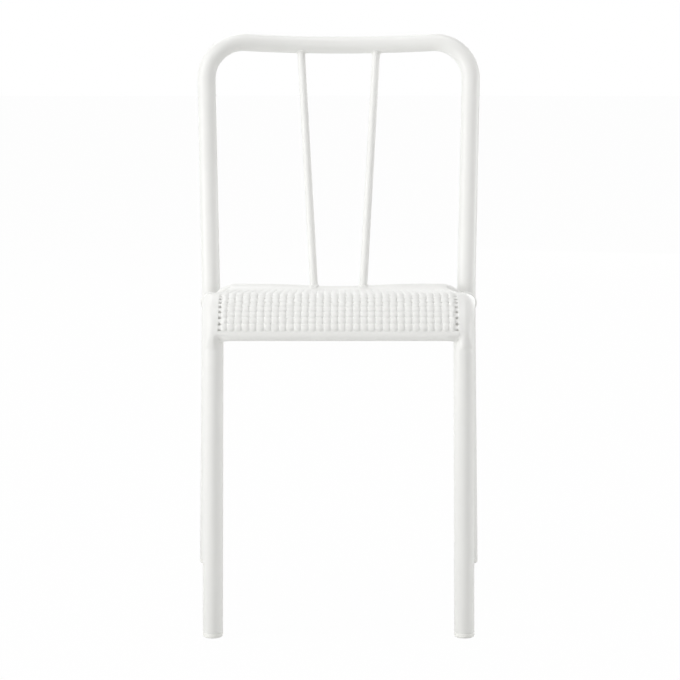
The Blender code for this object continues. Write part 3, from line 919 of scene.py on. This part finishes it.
def front_lip_ring(across):
    """Section of the front border: a flange under the weave, a flat hem, a roll over the rail."""
    roll_top = MAT_TOP_RADIUS * (MAT_FRONT_TURN - LIP_TURN)
    outward = Vector((0, -math.sin(LIP_TURN), math.cos(LIP_TURN)))
    knee_centre = Vector((across, KNEE_RADIUS, KNEE_CENTRE_HEIGHT))
    centre = knee_centre + outward * (MAT_TOP_RADIUS - LIP_RADIUS)
    past = (abs(across) - LIP_SINK_START) / (SIDE_GAP_EDGE - LIP_SINK_START)
    sink = LIP_SINK * smooth_step(past)
    from_side_gap = (LAST_RIB_EDGE - abs(across)) / SIDE_GAP_WIDTH
    reach = HEM_FLANGE_SIDE_SHARE + (1 - HEM_FLANGE_SIDE_SHARE) * smooth_step(from_side_gap)
    flange_end = FRONT_HEM + SURFACE_GAP + HEM_FLANGE * reach
    flange_top = MAT_THICKNESS - HEM_FLANGE_RISE

    def roll_point(turn, radius):
        up = Vector((0, -math.sin(turn), math.cos(turn)))
        share = smooth_step((turn - LIP_TURN) / LIP_SINK_TURN)
        return world(centre + up * radius - outward * (sink * share))

    turns = [LIP_TURN + LIP_REACH * step / LIP_STEPS for step in range(LIP_STEPS + 1)]
    ring = [
        mat_point(across, FRONT_HEM, flange_top + HEM_FLANGE_SHEET),
        mat_point(across, flange_end, flange_top + HEM_FLANGE_SHEET),
        mat_point(across, flange_end, flange_top),
        mat_point(across, FRONT_HEM, flange_top),
        mat_point(across, FRONT_HEM, BORDER_ROUND),
        mat_point(across, FRONT_HEM - BORDER_ROUND * ROUND_MIDDLE, BORDER_ROUND * ROUND_MIDDLE),
        mat_point(across, FRONT_HEM - BORDER_ROUND, 0),
        mat_point(across, (FRONT_HEM + roll_top) / 2, 0),
    ]
    ring += [roll_point(turn, LIP_RADIUS) for turn in turns]
    ring += [roll_point(turn, LIP_RADIUS - LIP_SHEET) for turn in reversed(turns)]
    return ring


def rear_border_ring(across):
    """Section of the rear border: up from the weave, then rolled over the rear rail."""
    start = weave_end()
    rail = Vector((across, REAR_RAIL_DEPTH, rear_rail_height(across)))
    landing = (start + mat_length()) / 2

    def roll_point(turn, radius):
        return world(rail + Vector((0, -math.sin(turn), math.cos(turn))) * radius)

    steps = range(REAR_ROLL_STEPS + 1)
    turns = [REAR_ROLL_START - REAR_ROLL_REACH * step / REAR_ROLL_STEPS for step in steps]
    ring = [
        mat_point(across, start, MAT_THICKNESS),
        mat_point(across, start, BORDER_ROUND),
        mat_point(across, start + BORDER_ROUND * ROUND_MIDDLE, BORDER_ROUND * ROUND_MIDDLE),
        mat_point(across, start + BORDER_ROUND, 0),
        mat_point(across, landing, 0),
    ]
    ring += [roll_point(turn, ROD_RADIUS + REAR_SHEET) for turn in turns]
    ring += [roll_point(turn, ROD_RADIUS - SURFACE_GAP) for turn in reversed(turns)]
    ring.append(mat_point(across, landing, MAT_THICKNESS))
    return ring


def make_cross_borders(paint):
    """The front and rear borders, between the side borders."""
    reach = SIDE_GAP_EDGE + CROSS_BORDER_OVERLAP
    shares = [2 * step / CROSS_BORDER_STEPS - 1 for step in range(CROSS_BORDER_STEPS + 1)]
    for place, ring_at in (("front", front_lip_ring), ("rear", rear_border_ring)):
        name = "seat_border_" + place
        shell = Shell()
        shell.add_sweep([ring_at(reach * share + WEAVE_SHIFT) for share in shares])
        make_piece(name, shell, paint, "woven_seat", "seat_mat")


# Foot plugs


def make_foot_plug(place, floor, above, plastic):
    """A rounded rim on the floor with a slightly dished sole, in line with the leg."""
    direction = (above - floor).normalized()
    profile = [
        (PLUG_DISH, PLUG_DISH_EYE_RADIUS),
        (PLUG_DISH, PLUG_DISH_FLAT_RADIUS),
        (PLUG_DISH / 2, PLUG_DISH_SLOPE_RADIUS),
        (0, PLUG_DISH_RADIUS),
    ]
    for step in range(PLUG_ROUND_STEPS + 1):
        turn = math.radians(90 * step / PLUG_ROUND_STEPS)
        inset = PLUG_ROUND * (1 - math.sin(turn))
        profile.append((PLUG_ROUND * (1 - math.cos(turn)), TUBE_RADIUS - inset))
    profile += [
        (PLUG_RIM_HEIGHT - PLUG_TOP_CHAMFER, TUBE_RADIUS),
        (PLUG_RIM_HEIGHT, TUBE_RADIUS - PLUG_TOP_CHAMFER),
        (PLUG_RIM_HEIGHT, TUBE_RADIUS - PLUG_NECK_INSET),
        (LEG_END_HEIGHT, TUBE_RADIUS - PLUG_NECK_INSET),
    ]
    rings = []
    for height, radius in profile:
        centre = floor + direction * (height / direction.z)
        ring = ring_around(world(centre), direction, Vector((1, 0, 0)), radius, PLUG_SIDES)
        rings.append(level_with(ring, direction, height))
    shell = Shell()
    shell.add_sweep(rings)
    name = "foot_plug_" + place
    return make_piece(name + "_moulding", shell, plastic, "foot_plastic", name)


# Chair


def make_frame_pieces(paint):
    """The tubes, the rods and their welds."""
    rear = make_rear_frame(paint)
    sides = {1: make_side_frame(1, "right", paint), -1: make_side_frame(-1, "left", paint)}
    make_rod("front_rail_rod", front_rail_path(), paint, "front_rail")
    make_rod("seat_crossbar_rod", crossbar_path(), paint, "seat_crossbar")
    rear_rail = make_rod("rear_rail_rod", [world(p) for p in rear_rail_path()], paint, "rear_rail")
    for side, word in ((-1, "left"), (1, "right")):
        make_rod("spindle_" + word + "_rod", spindle_path(side), paint, "spindle_" + word)

    rear_surface = surface_of(rear)
    rail_surface = surface_of(rear_rail)
    for side, word in ((-1, "left"), (1, "right")):
        make_welds(side, word, rear_surface, rail_surface, surface_of(sides[side]), paint)


def make_chair():
    frame_paint = paint_material(
        "powder_coat",
        colour=(0.880, 0.880, 0.862),
        darker=(0.862, 0.862, 0.842),
        roughness=0.38,
        peel_strength=0.10,
    )
    mat_paint = paint_material(
        "woven_powder_coat",
        colour=(0.875, 0.875, 0.857),
        darker=(0.850, 0.850, 0.830),
        roughness=0.44,
        peel_strength=0.12,
    )
    plastic = foot_plastic_material()
    make_frame_pieces(frame_paint)
    make_ribs(mat_paint)
    make_cross_strands(mat_paint)
    make_side_border(-1, "left", mat_paint)
    make_side_border(1, "right", mat_paint)
    make_cross_borders(mat_paint)
    for side, word in ((-1, "left"), (1, "right")):
        make_foot_plug("front_" + word, *front_leg_axis(side), plastic)
        make_foot_plug("rear_" + word, *rear_leg_axis(side), plastic)


# Studio

CAMERA_PLACE = (0.002, FRONT_LEG_Y - 3.1473, 0.8004)
CAMERA_PITCH = math.radians(7.03)
FOCAL_PIXELS = 2333.6
PICTURE_PIXELS = 680
SENSOR_WIDTH = 36.0

WORLD_STRENGTH = 0.32
FLOOR_WHITE_SHARE = 0.98
FLOOR_REACH = 40
FLOOR_COLOUR = (0.86, 0.86, 0.85, 1)
WORLD_COLOUR = (1.0, 1.0, 0.995, 1)
LIGHT_DISTANCE = 6.0
LIGHT_AIM_HEIGHT = 0.45
LIGHT_PANEL_SIZE = 2.2
LIGHT_PANELS = (
    ("left_panel", -68, 5, 120),
    ("left_high_panel", -65, 40, 68),
    ("front_panel", 0, 5, 46.5),
    ("overhead_panel", 0, 88, 90),
    ("right_panel", 100, 5, 91),
    ("right_high_panel", 50, 45, 16),
    ("back_right_panel", 165, 5, 20),
    ("back_left_high_panel", -165, 40, 53.5),
)


def make_camera():
    data = bpy.data.cameras.new("camera")
    data.sensor_width = SENSOR_WIDTH
    data.lens = FOCAL_PIXELS / PICTURE_PIXELS * SENSOR_WIDTH
    data.clip_end = 100
    camera = bpy.data.objects.new("camera", data)
    camera.location = CAMERA_PLACE
    camera.rotation_euler = (math.radians(90) - CAMERA_PITCH, 0, 0)
    bpy.context.scene.collection.objects.link(camera)
    bpy.context.scene.camera = camera


def white_for_camera(tree, lit, white_share):
    """Mixes a lit shader with plain white, as seen by the camera, in glosses and through glass."""
    path = tree.nodes.new("ShaderNodeLightPath")
    seen = tree.nodes.new("ShaderNodeMath")
    seen.operation = "MAXIMUM"
    seen_in_gloss = tree.nodes.new("ShaderNodeMath")
    seen_in_gloss.operation = "MAXIMUM"
    tree.links.new(path.outputs["Is Camera Ray"], seen.inputs[0])
    tree.links.new(path.outputs["Is Glossy Ray"], seen.inputs[1])
    tree.links.new(seen.outputs[0], seen_in_gloss.inputs[0])
    tree.links.new(path.outputs["Is Transmission Ray"], seen_in_gloss.inputs[1])
    share = tree.nodes.new("ShaderNodeMath")
    share.operation = "MULTIPLY"
    share.inputs[1].default_value = white_share
    tree.links.new(seen_in_gloss.outputs[0], share.inputs[0])
    white = tree.nodes.new("ShaderNodeEmission")
    white.inputs["Strength"].default_value = 1.0
    mix = tree.nodes.new("ShaderNodeMixShader")
    tree.links.new(share.outputs[0], mix.inputs["Fac"])
    tree.links.new(lit, mix.inputs[1])
    tree.links.new(white.outputs[0], mix.inputs[2])
    return mix.outputs[0]


def make_floor():
    mesh = bpy.data.meshes.new("floor")
    reach = FLOOR_REACH
    corners = [(-reach, -reach, 0), (reach, -reach, 0), (reach, reach, 0), (-reach, reach, 0)]
    mesh.from_pydata(corners, [], [(0, 1, 2, 3)])
    floor = bpy.data.objects.new("floor", mesh)
    bpy.context.scene.collection.objects.link(floor)
    material = bpy.data.materials.new("floor")
    material.use_nodes = True
    tree = material.node_tree
    tree.nodes.remove(tree.nodes["Principled BSDF"])
    lit = tree.nodes.new("ShaderNodeBsdfDiffuse")
    lit.inputs["Color"].default_value = FLOOR_COLOUR
    shader = white_for_camera(tree, lit.outputs[0], FLOOR_WHITE_SHARE)
    tree.links.new(shader, tree.nodes["Material Output"].inputs["Surface"])
    mesh.materials.append(material)


def make_world():
    world_light = bpy.data.worlds.new("studio")
    world_light.use_nodes = True
    tree = world_light.node_tree
    background = tree.nodes["Background"]
    background.inputs["Color"].default_value = WORLD_COLOUR
    background.inputs["Strength"].default_value = WORLD_STRENGTH
    shader = white_for_camera(tree, background.outputs[0], 1.0)
    tree.links.new(shader, tree.nodes["World Output"].inputs["Surface"])
    bpy.context.scene.world = world_light


def make_area_light(name, azimuth, elevation, watts):
    """A square soft panel that faces the chair; azimuth 0 is in front and grows to the right."""
    middle = Vector((0, 0, LIGHT_AIM_HEIGHT))
    level = math.cos(elevation)
    towards = Vector((math.sin(azimuth) * level, -math.cos(azimuth) * level, math.sin(elevation)))
    data = bpy.data.lights.new(name, "AREA")
    data.shape = "SQUARE"
    data.size = LIGHT_PANEL_SIZE
    data.energy = watts
    light = bpy.data.objects.new(name, data)
    light.location = middle + towards * LIGHT_DISTANCE
    light.rotation_euler = (-towards).to_track_quat("-Z", "Y").to_euler()
    bpy.context.scene.collection.objects.link(light)


def make_studio():
    make_camera()
    make_floor()
    make_world()
    for name, azimuth, elevation, watts in LIGHT_PANELS:
        make_area_light(name, math.radians(azimuth), math.radians(elevation), watts)
    bpy.context.scene.view_settings.view_transform = "Standard"


make_studio()
make_chair()
